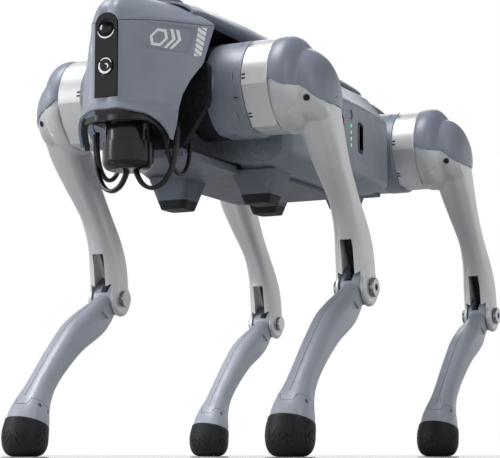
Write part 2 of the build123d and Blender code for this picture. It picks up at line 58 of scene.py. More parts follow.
pos = {j["name"]: Vector(j["pos_m"]) / MM for j in frame["joints"] if "pos_m" in j}
hip_at = pos["front_left_thigh_swing"]
rear_hip_at = pos["rear_left_thigh_swing"]
mid_x = (hip_at.x + rear_hip_at.x) / 2
hip_z = hip_at.z
knee = pos["front_left_knee_bend"] - Vector((hip_at.x, 0, 0))
lean = math.atan2(-knee.x, hip_z - knee.z)


def corners(node):
    """Lowest and highest corners of a CAD node in millimetres."""
    low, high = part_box(node)
    return low / MM, high / MM


calf_low, calf_high = corners("front_left_calf")
foot_low, foot_high = corners("front_left_foot_pad")
leg_y = (calf_low.y + calf_high.y) / 2
foot_x = (foot_low.x + foot_high.x) / 2 - hip_at.x


# Camera, light and floor ------------------------------------------------------------------------

camera_place = (1.632, 0.789, 0.002)
camera_yaw, camera_pitch = math.radians(206.17), math.radians(7.55)
camera_lens, sensor_width = 122.5, 36
backdrop_top, dark_from = 0.29, 0.38
light_target = Vector((0, 0, 0.25))
LIGHTS = (  # name, place, size, power, colour
    ("top_box", (0.5, -0.45, 2.0), 1.0, 34, (1, 1, 1)),
    ("front_box", (1.5, -1.9, 1.1), 0.8, 26, (0.98, 0.99, 1.0)),
    ("side_box", (0.9, 2.2, 1.5), 0.9, 9, (1.0, 1.0, 1.0)),
    ("back_box", (-1.9, -0.6, 1.5), 0.9, 8, (0.97, 0.98, 1.0)),
)
floor_half = 3.0


def studio():
    """The camera, a pale backdrop under a darker sky, four soft lights and the floor."""
    camera = bpy.data.objects.new("camera", bpy.data.cameras.new("camera"))
    bpy.context.scene.collection.objects.link(camera)
    camera.data.sensor_width = sensor_width
    camera.data.lens = camera_lens
    camera.data.clip_start = 0.01
    camera.location = camera_place
    level = math.cos(camera_pitch)
    look = Vector((math.cos(camera_yaw) * level, math.sin(camera_yaw) * level, math.sin(camera_pitch)))
    camera.rotation_euler = look.to_track_quat("-Z", "Y").to_euler()
    bpy.context.scene.camera = camera
    bpy.context.scene.view_settings.view_transform = "Standard"

    world = bpy.data.worlds.new("studio")
    bpy.context.scene.world = world
    world.use_nodes = True
    nodes, links = world.node_tree.nodes, world.node_tree.links
    background = nodes["Background"]
    coordinate = nodes.new("ShaderNodeTexCoord")
    split = nodes.new("ShaderNodeSeparateXYZ")
    ramp = nodes.new("ShaderNodeValToRGB")
    links.new(coordinate.outputs["Generated"], split.inputs[0])
    links.new(split.outputs["Z"], ramp.inputs["Fac"])
    links.new(ramp.outputs["Color"], background.inputs["Color"])
    stops = ramp.color_ramp.elements
    stops[0].position, stops[0].color = 0.0, (1, 1, 1, 1)
    stops[1].position, stops[1].color = backdrop_top, (1, 1, 1, 1)
    sky = stops.new(dark_from)
    sky.color = (0.07, 0.073, 0.08, 1)

    for name, place, size, power, colour in LIGHTS:
        lamp = bpy.data.lights.new(name, "AREA")
        lamp.shape = "DISK"
        lamp.size = size
        lamp.energy = power
        lamp.color = colour
        holder = bpy.data.objects.new(name, lamp)
        bpy.context.scene.collection.objects.link(holder)
        holder.location = place
        aim = light_target - Vector(place)
        holder.rotation_euler = aim.to_track_quat("-Z", "Y").to_euler()

    floor_mesh = bpy.data.meshes.new("floor")
    outline = [(x, y, 0) for x, y in box_outline(2 * floor_half, 2 * floor_half)]
    floor_mesh.from_pydata(outline, [], [(0, 1, 2, 3)])
    floor = bpy.data.objects.new("floor", floor_mesh)
    bpy.context.scene.collection.objects.link(floor)
    floor_mesh.materials.append(surface("pale_floor", (0.42, 0.42, 0.43), rough=0.14, grain=0.0))


# Materials --------------------------------------------------------------------------------------


def surface(
    name,
    colour,
    rough=0.45,
    metal=0.0,
    tint=0.05,
    grain=0.08,
    grain_scale=1400.0,
    wear=0.0,
    coat=0.0,
    streak=1.0,
    glow=0.0,
    shine=0.5,
):
    """Colour with slow variation, worn edges, and fine grain in the bump and the roughness."""
    material = bpy.data.materials.new(name)
    material.use_nodes = True
    nodes, links = material.node_tree.nodes, material.node_tree.links
    shader = nodes["Principled BSDF"]
    shader.inputs["Metallic"].default_value = metal
    shader.inputs["Coat Weight"].default_value = coat
    shader.inputs["Coat Roughness"].default_value = 0.06
    shader.inputs["Specular IOR Level"].default_value = shine

    coordinate = nodes.new("ShaderNodeTexCoord")
    stretch = nodes.new("ShaderNodeMapping")
    stretch.inputs["Scale"].default_value = (1, streak, 1)
    links.new(coordinate.outputs["Object"], stretch.inputs["Vector"])

    def noise(scale, detail):
        texture = nodes.new("ShaderNodeTexNoise")
        texture.inputs["Scale"].default_value = scale
        texture.inputs["Detail"].default_value = detail
        links.new(stretch.outputs["Vector"], texture.inputs["Vector"])
        return texture.outputs["Fac"]

    def mapped(value, low, high, start=0.3, end=0.7):
        spread = nodes.new("ShaderNodeMapRange")
        spread.inputs["From Min"].default_value = start
        spread.inputs["From Max"].default_value = end
        spread.inputs["To Min"].default_value = low
        spread.inputs["To Max"].default_value = high
        links.new(value, spread.inputs["Value"])
        return spread.outputs["Result"]

    def blended(factor, first, second):
        mix = nodes.new("ShaderNodeMix")
        mix.data_type = "RGBA"
        links.new(factor, mix.inputs["Factor"])
        for socket, value in ((mix.inputs[6], first), (mix.inputs[7], second)):
            if isinstance(value, tuple):
                socket.default_value = (*value, 1)
            else:
                links.new(value, socket)
        return mix.outputs[2]

    darker = tuple(c * (1 - tint) for c in colour)
    lighter = tuple(min(1, c * (1 + tint)) for c in colour)
    paint = blended(mapped(noise(14, 4), 0, 1), darker, lighter)
    if wear:
        geometry = nodes.new("ShaderNodeNewGeometry")
        edge = mapped(geometry.outputs["Pointiness"], 0, wear, start=0.53, end=0.62)
        scuff = mapped(noise(220, 5), 0, 1, start=0.42, end=0.6)
        both = nodes.new("ShaderNodeMath")
        both.operation = "MULTIPLY"
        links.new(edge, both.inputs[0])
        links.new(scuff, both.inputs[1])
        worn = tuple(min(1, c * 1.5 + 0.06) for c in colour)
        paint = blended(both.outputs[0], paint, worn)
    links.new(paint, shader.inputs["Base Color"])
    links.new(mapped(noise(60, 6), rough * 0.9, rough * 1.12), shader.inputs["Roughness"])
    if grain:
        bump = nodes.new("ShaderNodeBump")
        bump.inputs["Strength"].default_value = grain
        bump.inputs["Distance"].default_value = 0.0002
        links.new(noise(grain_scale, 3), bump.inputs["Height"])
        links.new(bump.outputs["Normal"], shader.inputs["Normal"])
    if glow:
        shader.inputs["Emission Color"].default_value = (*colour, 1)
        shader.inputs["Emission Strength"].default_value = glow
    return material


MATERIALS = {
    "body_grey": surface("body_grey", (0.232, 0.258, 0.312), rough=0.42, wear=0.4, grain=0.08, shine=0.4),
    "cap_grey": surface("cap_grey", (0.222, 0.248, 0.302), rough=0.38, wear=0.3, grain=0.06, shine=0.45),
    "calf_grey": surface("calf_grey", (0.36, 0.385, 0.445), rough=0.36, wear=0.3, grain=0.07, shine=0.45),
    "belly_grey": surface("belly_grey", (0.135, 0.150, 0.188), rough=0.5, wear=0.3, grain=0.12, shine=0.3),
    "motor_silver": surface(
        "motor_silver", (0.66, 0.665, 0.67), rough=0.36, metal=0.35, tint=0.03, grain=0.06, streak=6
    ),
    "thigh_silver": surface(
        "thigh_silver", (0.60, 0.605, 0.61), rough=0.36, metal=0.35, tint=0.03, grain=0.07, wear=0.3
    ),
    "dark_metal": surface("dark_metal", (0.022, 0.024, 0.029), rough=0.42, metal=0.3, wear=0.4, shine=0.3),
    "black_metal": surface("black_metal", (0.008, 0.008, 0.010), rough=0.5, wear=0.3, shine=0.25),
    "steel": surface("steel", (0.40, 0.41, 0.43), rough=0.28, metal=1.0, tint=0.08, streak=10),
    "gloss_black": surface("gloss_black", (0.006, 0.0065, 0.008), rough=0.2, coat=0.12, grain=0.0, shine=0.3),
    "lens_black": surface("lens_black", (0.010, 0.011, 0.013), rough=0.42, grain=0.0, shine=0.2),
    "cage_black": surface("cage_black", (0.007, 0.0075, 0.009), rough=0.34, wear=0.2, grain=0.1, shine=0.35),
    "black_rubber": surface(
        "black_rubber", (0.009, 0.0095, 0.011), rough=0.55, grain=0.3, grain_scale=900, wear=0.2, shine=0.3
    ),
}
EXTRA = {
    # White of the printed cheek marks, also used for the painted reflection under the upper lens.
    "print_and_reflection_white": surface("print_and_reflection_white", (0.82, 0.83, 0.85), rough=0.5, tint=0.02, grain=0.12),
    "lamp_silver": surface("lamp_silver", (0.8, 0.8, 0.82), rough=0.18, metal=0.9, tint=0.05),
    "charge_green": surface("charge_green", (0.08, 0.75, 0.22), rough=0.3, glow=0.8, grain=0.0),
    # Black of the motor's slots, also used for the painted shade in the ring's pockets, notches and groove.
    "slot_and_shadow_black": surface("slot_and_shadow_black", (0.006, 0.006, 0.007), rough=0.6, tint=0.2),
    "glass_dark": surface("glass_dark", (0.003, 0.003, 0.004), rough=0.12, coat=0.1, grain=0.0, shine=0.3),
}


# Mesh tools -------------------------------------------------------------------------------------


def mesh_object(name, points, faces):
    """An object from points in millimetres, with its normals facing out."""
    mesh = bpy.data.meshes.new(name)
    mesh.from_pydata([Vector(p) * MM for p in points], [], faces)
    work = bmesh.new()
    work.from_mesh(mesh)
    bmesh.ops.remove_doubles(work, verts=work.verts, dist=1e-6)
    bmesh.ops.recalc_face_normals(work, faces=work.faces)
    work.to_mesh(mesh)
    work.free()
    made = bpy.data.objects.new(name, mesh)
    bpy.context.scene.collection.objects.link(made)
    return made


def baked(made):
    """Turn an object's modifiers into its own mesh."""
    bpy.context.view_layer.update()
    graph = bpy.context.evaluated_depsgraph_get()
    mesh = bpy.data.meshes.new_from_object(made.evaluated_get(graph))
    made.modifiers.clear()
    made.data = mesh
    return made


def combine(made, other, operation):
    modifier = made.modifiers.new("combine", "BOOLEAN")
    modifier.object = other
    modifier.operation = operation
    modifier.solver = "EXACT"
    baked(made)
    bpy.data.objects.remove(other)
    return made


def cut(made, *cutters):
    for cutter in cutters:
        combine(made, cutter, "DIFFERENCE")
    return made


def thickened(made, thickness, offset=-1, even=False):
    """Give an open surface its wall, on its inner side unless offset says otherwise."""
    shell = made.modifiers.new("shell", "SOLIDIFY")
    shell.thickness = thickness * MM
    shell.offset = offset
    shell.use_even_offset = even
    return baked(made)


def smooth(made, angle=32):
    for polygon in made.data.polygons:
        polygon.use_smooth = True
    made.data.set_sharp_from_angle(angle=math.radians(angle))
    return made


def bevelled(made, width, segments=2, angle=40):
    modifier = made.modifiers.new("bevel", "BEVEL")
    modifier.width = width * MM
    modifier.segments = segments
    modifier.limit_method = "ANGLE"
    modifier.angle_limit = math.radians(angle)
    modifier.harden_normals = False
    return baked(made)


def skin(rows, ring=True, ends=True):
    """Faces over rows of points, closed round each row if ring, and capped if ends."""
    count = len(rows[0])
    points = [p for row in rows for p in row]
    faces = []
    across = count if ring else count - 1
    for j in range(len(rows) - 1):
        for i in range(across):
            k = (i + 1) % count
            faces.append((j * count + i, j * count + k, (j + 1) * count + k, (j + 1) * count + i))
    if ring and ends:
        faces.append(tuple(range(count)))
        faces.append(tuple(len(points) - count + i for i in range(count)))
    return points, faces


def solid(name, rows, **options):
    return mesh_object(name, *skin(rows, **options))


def through(points, steps):
    """A smooth curve through the points, each of any length, with steps points to a span."""
    rows = [tuple(p) for p in points]
    ends = [rows[0], *rows, rows[-1]]
    curve = []
    for a, b, c, d in zip(ends, ends[1:], ends[2:], ends[3:]):
        for step in range(steps):
            t = step / steps
            curve.append(
                tuple(
                    0.5 * (2 * q + (r - p) * t + (2 * p - 5 * q + 4 * r - s) * t**2
                           + (3 * q - p - 3 * r + s) * t**3)
                    for p, q, r, s in zip(a, b, c, d)
                )
            )
    curve.append(rows[-1])
    return curve


def between(value, table):
    """Straight-line interpolation in rows of (key, value, ...), sorted by key."""
    if value <= table[0][0]:
        return table[0][1:]
    for low, high in zip(table, table[1:]):
        if value <= high[0]:
            t = (value - low[0]) / (high[0] - low[0])
            return tuple(a + (b - a) * t for a, b in zip(low[1:], high[1:]))
    return table[-1][1:]


def rounded(outline, radius, steps=6):
    """The outline with each corner turned into an arc."""
    result = []
    count = len(outline)
    for index, corner in enumerate(outline):
        here = Vector(corner)
        before = (Vector(outline[index - 1]) - here).normalized()
        after = (Vector(outline[(index + 1) % count]) - here).normalized()
        half = before.angle(after) / 2
        centre = here + (before + after).normalized() * radius / math.sin(half)
        start = here + before * radius / math.tan(half) - centre
        end = here + after * radius / math.tan(half) - centre
        for step in range(steps + 1):
            result.append(tuple(centre + start.slerp(end, step / steps)))
    return result


def box_outline(width, height, centre=(0, 0)):
    a, b = width / 2, height / 2
    return [(centre[0] + x, centre[1] + y) for x, y in ((-a, -b), (a, -b), (a, b), (-a, b))]


def circle(radius, centre=(0, 0), count=64):
    a, b = centre
    turns = (math.tau * i / count for i in range(count))
    return [(a + radius * math.cos(turn), b + radius * math.sin(turn)) for turn in turns]


def oval(angle, half_a, half_b, power):
    """A point of a superellipse. With power 2 it is an ellipse, and more power makes it squarer."""
    a, b = math.cos(angle), math.sin(angle)
    return (
        math.copysign(abs(a) ** (2 / power), a) * half_a,
        math.copysign(abs(b) ** (2 / power), b) * half_b,
    )


def ring_about(centre, direction, radius, count):
    """Points of a circle square to a direction."""
    side = direction.orthogonal().normalized()
    other = direction.cross(side)
    turns = (math.tau * k / count for k in range(count))
    return [centre + (side * math.cos(turn) + other * math.sin(turn)) * radius for turn in turns]


def placed(point, level, axis):
    """A point from its place along an axis and its two other coordinates in order."""
    a, b = point
    return {"x": (level, a, b), "y": (a, level, b), "z": (a, b, level)}[axis]


def prism(name, outline, span, axis="y"):
    """An outline extruded along an axis."""
    return solid(name, [[placed(p, level, axis) for p in outline] for level in span])


def turned(name, profile, centre, axis="y", count=96):
    """A solid of revolution. The profile gives (place along the axis, radius)."""
    x, y, z = centre
    middle = {"x": (y, z), "y": (x, z), "z": (x, y)}[axis]
    rings = ((along, circle(radius, middle, count)) for along, radius in profile)
    return solid(name, [[placed(p, along, axis) for p in ring] for along, ring in rings])


def ribbon(name, path, outward, width, depth, closed=False):
    """A thin strip along a path on a surface, for cutting a seam that wide and deep."""
    rows = []
    path = [Vector(p) for p in path]
    total = len(path)
    for index, here in enumerate(path):
        if closed:
            along = path[(index + 1) % total] - path[index - 1]
        else:
            along = path[min(index + 1, total - 1)] - path[max(index - 1, 0)]
        up = Vector(outward[index]).normalized()
        across = along.cross(up).normalized() * (width / 2)
        low, high = here - up * depth, here + up * (depth + 0.5)
        rows.append([low - across, low + across, high + across, high - across])
    if closed:
        rows.append(rows[0])
    return solid(name, rows, ends=not closed)


def join(name, parts):
    """Several objects as one, without merging their surfaces."""
    work = bmesh.new()
    for part in parts:
        work.from_mesh(part.data)
        bpy.data.objects.remove(part)
    mesh = bpy.data.meshes.new(name)
    work.to_mesh(mesh)
    work.free()
    made = bpy.data.objects.new(name, mesh)
    bpy.context.scene.collection.objects.link(made)
    return made


def finish_piece(made, name, material, body, slot=None, replaces=(), angle=32):
    made.name = name
    made.data.name = name
    made.data.materials.clear()
    made.data.materials.append(MATERIALS.get(material) or EXTRA[material])
    smooth(made, angle)
    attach(made, body)
    if replaces:
        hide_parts(*replaces)
    return made


def trunk_piece(made, name, material, body="trunk", **options):
    made.data.transform(Matrix.Translation((mid_x * MM, 0, 0)))
    return finish_piece(made, name, material, body, **options)


def stamp(made, name, material, part, stands_for=(), **options):
    """Copies of a leg piece on all four legs, each riding on its own leg's body."""
    for leg in LEGS:
        hip = pos[f"{leg}_thigh_swing"]
        side = 1 if hip.y > 0 else -1
        mesh = made.data.copy()
        mesh.transform(Matrix.Diagonal((1, side, 1, 1)))
        if side < 0:
            mesh.flip_normals()
        mesh.transform(Matrix.Translation((hip.x * MM, 0, 0)))
        copy = bpy.data.objects.new(f"{leg}_{name}", mesh)
        bpy.context.scene.collection.objects.link(copy)
        nodes = [f"{leg}_{node}" for node in stands_for]
        finish_piece(copy, f"{leg}_{name}", material, f"{leg}_{part}", replaces=nodes, **options)
    bpy.data.objects.remove(made)


# Thigh and shoulder cap -------------------------------------------------------------------------

shoulder_rings = (  # y, radius, offset of the centre from the hip
    (114.8, 46.2, 0, 0),
    (117.5, 47.4, 0, 0),
    (122.5, 47.8, 0, 0),
    (128.5, 46.8, 0, 0),
    (133.0, 44.2, -0.5, -0.5),
    (136.5, 40.6, -1.5, -1.5),
    (139.5, 37.4, -3, -2.6),
    (142.5, 37.0, -4.5, -3.4),
    (147.0, 36.4, -6, -5.2),
    (152.5, 33.2, -7, -7.6),
    (157.0, 27.4, -8, -9.8),
    (160.4, 19.5, -8.5, -11.2),
    (162.2, 9.5, -9, -12.2),
    (162.7, 1.0, -9, -12.4),
)
cap_edge = (  # y, height of the cap's lower edge
    (115, 351.5), (119, 350.5), (125, 346.5), (131, 344.2), (137, 344.6), (142, 345.0),
    (147, 342.0), (152, 337.0), (157, 333.0), (161, 331.5), (165, 331.0),
)
thigh_stations = (  # x, z, depth, width
    (-8, 338, 52, 36),
    (-21, 314, 46, 36.5),
    (-39, 290, 39, 32),
    (-56, 271, 34.5, 28),
    (-69.5, 256, 32.5, 26),
    (-81.5, 239, 33, 27.5),
    (-91.5, 222, 35.5, 31),
    (-98, 204, 38, 34.5),
    (-101.5, 185, 39, 35.5),
    (knee.x, knee.z, 38, 35),
)


def limb_rows(stations, steps, count=64, power=2.9):
    """Rows of rounded sections along a bent centreline in the leg's plane."""
    centres = through(stations, steps)
    rows = []
    for index, (x, z, depth, width) in enumerate(centres):
        before = centres[max(index - 1, 0)]
        after = centres[min(index + 1, len(centres) - 1)]
        along = Vector((after[0] - before[0], 0, after[1] - before[1])).normalized()
        across = Vector((-along.z, 0, along.x))
        section = (oval(math.tau * k / count, depth / 2, width / 2, power) for k in range(count))
        rows.append([Vector((x, leg_y + b, z)) + across * a for a, b in section])
    return rows


def shoulder_solid(inset):
    rows = []
    for y, radius, dx, dz in through(shoulder_rings, 3):
        ring = circle(max(radius - inset, 0.4), (dx, hip_z + dz), 96)
        rows.append([(x, y - (inset if y > 160 else 0), z) for x, z in ring])
    return solid("shoulder", rows)


def along_thigh(start, up, forward, y):
    """A point reached from start by going up the thigh and square to it towards the front."""
    return Vector(
        (
            start.x + up * math.sin(lean) + forward * math.cos(lean),
            y,
            start.z + up * math.cos(lean) - forward * math.sin(lean),
        )
    )


def thigh_box(start, up_span, forward_span, y_span, radius):
    """A cutter square to the thigh, rounded at its corners as seen from the front."""
    y_mid = (y_span[0] + y_span[1]) / 2
    up_mid = (up_span[0] + up_span[1]) / 2
    frame_outline = box_outline(y_span[1] - y_span[0], up_span[1] - up_span[0], (y_mid, up_mid))
    outline = rounded(frame_outline, radius)
    rows = [[along_thigh(start, up, forward, y) for y, up in outline] for forward in forward_span]
    return solid("cutter", rows)


def drill(centre, direction, radius, depth):
    """A round cutter that enters a surface at centre along a direction."""
    proud = 4.0
    ends = (centre + direction * level for level in (-proud, depth))
    return solid("drill", [ring_about(end, direction, radius, 20) for end in ends])


def screw_head(centre, direction, radius):
    """A socket screw head, sunk with its top at centre, facing against direction."""
    profile = (
        (1.2, radius), (0.25, radius), (0.0, radius - 0.25), (0.0, radius * 0.55), (0.9, radius * 0.5)
    )
    return solid(
        "screw", [ring_about(centre + direction * level, direction, size, 24) for level, size in profile]
    )


def build_thigh():
    made = join("thigh", [shoulder_solid(1.3), solid("limb", limb_rows(thigh_stations, 5))])
    boss = turned("boss", ((126, 16), (127.5, 18.8), (157.5, 18.8), (159, 16)), (knee.x, 0, knee.z))
    made = join("thigh", [made, boss])
    remesh = made.modifiers.new("remesh", "REMESH")
    remesh.mode = "VOXEL"
    remesh.voxel_size = 0.0011
    relax = made.modifiers.new("relax", "SMOOTH")
    relax.factor = 0.5
    relax.iterations = 14
    baked(made)
    knee_point = Vector((knee.x, 0, knee.z))
    rod_top = along_thigh(Vector((0, 0, hip_z)), 0, -11.4, 0)
    knee_bore, head_bore, rod_half_depth = 6.2, 9.9, 7.8
    return cut(
        made,
        thigh_box(knee_point, (-60, 58), (-7, 40), (130.5, 153.5), 6),
        prism("cutter", circle(23.5, (knee.x, knee.z)), (130, 154)),
        prism("cutter", circle(22, (0, hip_z)), (118.5, 145.5)),
        prism("cutter", circle(10, (0, hip_z)), (112, 119)),
        thigh_box(rod_top, (-200, 2), (-rod_half_depth, rod_half_depth), (134.8, 144.2), 1),
        turned("cutter", ((120, knee_bore), (164, knee_bore)), knee_point, count=40),
        turned("cutter", ((158.6, head_bore), (164, head_bore)), knee_point, count=48),
    )


def shoulder_point(y, angle):
    """A point on the shoulder's outside, and its outward direction."""
    rings = through(shoulder_rings, 6)
    radius, dx, dz = between(y, rings)
    step = 0.3
    slope = (between(y + step, rings)[0] - radius) / step
    outward = Vector((math.cos(angle), -slope, math.sin(angle))).normalized()
    place = Vector((dx + radius * math.cos(angle), y, hip_z + dz + radius * math.sin(angle)))
    return place, outward


def build_cap():
    rows = []
    columns = 72
    for y, radius, dx, dz in through(shoulder_rings, 5):
        edge = between(y, cap_edge)[0]
        low = math.asin(max(-1.0, min(1.0, (edge - hip_z - dz) / radius)))
        row = []
        for column in range(columns + 1):
            angle = low + (math.pi - 2 * low) * column / columns
            row.append((dx + radius * math.cos(angle), y, hip_z + dz + radius * math.sin(angle)))
        rows.append(row)
    made = thickened(solid("cap", rows, ring=False), 1.6, even=True)
    return bevelled(made, 0.5, segments=3, angle=55)


def build_thigh_and_cap():
    thigh = build_thigh()
    dimple_place, dimple_out = shoulder_point(133.0, math.radians(-42))
    cut(thigh, solid("dimple", dimple_rows(dimple_place, dimple_out)))
    port, port_out = shoulder_point(147.5, math.radians(-22))
    cut(thigh, drill(port, -port_out, 3.4, 4.5))
    stamp(screw_head(port - port_out * 1.2, -port_out, 3.0), "port_screw", "dark_metal", "thigh")
    stamp(build_cap(), "cap_form", "cap_grey", "thigh", stands_for=["shoulder_cap"])
    stamp(thigh, "thigh_form", "thigh_silver", "thigh", stands_for=["thigh_shell"], angle=38)


def dimple_rows(centre, outward):
    """A shallow oval bowl cutter lying across the shoulder's lower front."""
    half_long, half_short = 8.5, 3.6
    count = 28
    long_way = Vector((0.25, 0.9, 0.3)).normalized()
    long_way = (long_way - outward * long_way.dot(outward)).normalized()
    short_way = outward.cross(long_way)
    rows = []
    for level, share in ((3.0, 1.25), (1.2, 1.08), (0, 0.98), (-1.0, 0.85), (-1.9, 0.6), (-2.3, 0.25)):
        rows.append(
            [
                centre + outward * level
                + long_way * (half_long * share * math.cos(math.tau * k / count))
                + short_way * (half_short * share * math.sin(math.tau * k / count))
                for k in range(count)
            ]
        )
    return rows


# Motor, ring and their small slots ---------------------------------------------------------------

motor_low, motor_high = corners("front_left_knee_motor")
ring_low, ring_high = corners("front_left_motor_ring")
motor_radius = (motor_high.z - motor_low.z) / 2
ring_radius = (ring_high.z - ring_low.z) / 2


def on_drum(angle, y, radius, tangent):
    """A point on a drum about the hip, a way round it from an angle in degrees."""
    turn = math.radians(angle)
    way = Vector((-math.sin(turn), 0, math.cos(turn)))
    return Vector((radius * math.cos(turn), y, hip_z + radius * math.sin(turn))) + way * tangent


def drum_plug(angle, y, radii, half_y, half_round, power=2.0):
    """A small block or oval standing out of a drum, for a cut or for a mark."""
    count = 32
    outline = [oval(math.tau * k / count, half_y, half_round, power) for k in range(count)]
    return solid("plug", [[on_drum(angle, y + a, radius, b) for a, b in outline] for radius in radii])


def motor_outline(radius):
    """A circle whose lower half is cut to three broad flats, each bent outwards at its middle."""
    arc_start, flat_turn, bend = -6, 56, 0.55

    def on_circle(degrees):
        angle = math.radians(degrees)
        return Vector((math.cos(angle), math.sin(angle))) * radius

    outline = [tuple(on_circle(arc_start + 2 * k)) for k in range(97)]
    for start in (186, 242, 298):
        end = on_circle(start + flat_turn)
        middle = (on_circle(start) + end) / 2
        middle = middle.normalized() * (middle.length + bend * (radius - middle.length))
        outline += [tuple(middle), tuple(end)]
    return outline[:-1]


def drum_reach(angle, outline):
    """How far an outline about the hip reaches out at an angle in degrees."""
    way = Vector((math.cos(math.radians(angle)), math.sin(math.radians(angle))))
    for p, q in zip(outline, outline[1:] + outline[:1]):
        p, q = Vector(p), Vector(q)
        low, high = way.cross(p), way.cross(q)
        if low * high <= 0 and p.dot(way) > 0 and low != high:
            return p.lerp(q, low / (low - high)).dot(way)
    return motor_radius


def both_sides(angles):
    return [turn for angle in angles for turn in (angle, 180 - angle)]


def build_motor():
    rows = []
    for y, inset in (
        (motor_low.y, 1.2), (motor_low.y + 0.4, 0.5), (motor_low.y + 1.2, 0.0),
        (motor_high.y - 0.8, 0.0), (motor_high.y, 0.8),
    ):
        rows.append([(x, y, hip_z + z) for x, z in motor_outline(motor_radius - inset)])
    return solid("motor", rows)


def build_motor_slots():
    """Pairs of dark slots near the motor's inner edge."""
    outline = motor_outline(motor_radius)
    half_y, half_round, proud = 1.9, 0.85, 0.12
    slots = []
    for turn in both_sides((52, 4, -45)):
        for angle in (turn - 2.3, turn + 2.3):
            reach = drum_reach(angle, outline)
            radii = (reach - 2, reach + proud)
            slots.append(drum_plug(angle, motor_low.y + 3.0, radii, half_y, half_round, power=5))
    return join("slots", slots)


ring_start = ring_low.y + 1.3  # a groove, darkened by painted shade, lies between the bracket and this edge
ring_middle = (ring_start + ring_high.y) / 2
pocket_turns = both_sides((56, 5, -43))
notch_turns = both_sides((-20,))


def ring_plugs(turns, inner, outer, half_y, half_round, **options):
    """Plugs at the same depths below the ring's outer surface, one at each turn."""
    radii = (ring_radius + inner, ring_radius + outer)
    return [drum_plug(turn, ring_middle, radii, half_y, half_round, **options) for turn in turns]


def build_ring():
    profile = (
        (ring_start, ring_radius - 1.2), (ring_start + 0.3, ring_radius - 0.4),
        (ring_start + 0.8, ring_radius), (ring_high.y - 0.8, ring_radius),
        (ring_high.y - 0.3, ring_radius - 0.4), (ring_high.y, ring_radius - 1.2),
    )
    made = turned("ring", profile, (0, 0, hip_z), count=160)
    cut(made, *ring_plugs(pocket_turns, -2.4, 2, 2.2, 6.6))
    return cut(made, *ring_plugs(notch_turns, -3.5, 2, 6, 0.8, power=6))


def build_ring_shadows():
    """Painted shade: dark floors in the ring's pockets and notches and in the groove beside it."""
    floors = ring_plugs(pocket_turns, -4, -1.5, 2.1, 6.4)
    groove = ((ring_low.y - 0.4, ring_radius - 2), (ring_start + 1, ring_radius - 2))
    floors.append(turned("groove", groove, (0, 0, hip_z)))
    floors += ring_plugs(notch_turns, -6, -1.8, 3.2, 0.7, power=6)
    return join("shadows", floors)


def build_hip_looks():
    stamp(build_motor(), "motor_form", "motor_silver", "thigh", stands_for=["knee_motor"], angle=16)
    stamp(build_motor_slots(), "motor_slots", "slot_and_shadow_black", "thigh", slot="motor_silver")
    # Painted shade: dark pieces in the ring's pockets, notches and groove.
    stamp(build_ring_shadows(), "ring_shadows", "slot_and_shadow_black", "thigh", slot="cap_grey")
    stamp(build_ring(), "ring_form", "cap_grey", "thigh", stands_for=["motor_ring"], angle=28)


# Calf and foot ----------------------------------------------------------------------------------

calf_stations = (  # x, z, depth, width
    (-93.4, 158, 28, 21.6),
    (-84.0, 150, 33, 21.8),
    (-71.2, 142, 35, 26),
    (-54.0, 133.4, 35, 29),
    (-32.8, 122.2, 33.5, 28.5),
    (-15.0, 108.8, 30.5, 27),
    (1.8, 94.6, 28, 26),
    (15.8, 81.2, 26.5, 25.2),
    (26.6, 69.5, 27.5, 25.5),
    (34.6, 59, 30, 28),
    (42.1, 48.5, 35, 33),
    (47.1, 39, 39, 38),
    (51.6, 27, 41, 41),
)
calf_power = 2.5
ankle_tilt = math.radians(20)
ankle_point = Vector((foot_x - 3.5, leg_y, 31.5))
ankle_normal = Vector((-math.sin(ankle_tilt), 0, math.cos(ankle_tilt)))


def calf_surface(along, angle):
    """Point and outward direction on the calf. Along goes from 0 at the knee to 1 at the foot, and
    the angle is 0 at the front ridge and 90 degrees on the outer side."""
    rows = through(calf_stations, 8)
    spot = along * (len(rows) - 1)
    keyed = [(float(index), *row) for index, row in enumerate(rows)]
    x, z, depth, width = between(spot, keyed)
    ahead = between(min(spot + 0.5, len(rows) - 1), keyed)
    behind = between(max(spot - 0.5, 0), keyed)
    way = Vector((ahead[0] - behind[0], 0, ahead[1] - behind[1])).normalized()
    across = Vector((-way.z, 0, way.x))
    fore, out = oval(angle, depth / 2, width / 2, calf_power)
    outward = (across * math.cos(angle) + Vector((0, math.sin(angle), 0))).normalized()
    return Vector((x, leg_y + out, z)) + across * fore, outward


slab_reach = 60


def ankle_slab(low, high):
    """A large cutter square to the ankle, between two ways along its normal."""
    along = Vector((math.cos(ankle_tilt), 0, math.sin(ankle_tilt)))
    rows = []
    for level in (low, high):
        centre = ankle_point + ankle_normal * level
        outline = box_outline(2 * slab_reach, 2 * slab_reach)
        rows.append([centre + along * a + Vector((0, b, 0)) for a, b in outline])
    return solid("cutter", rows)


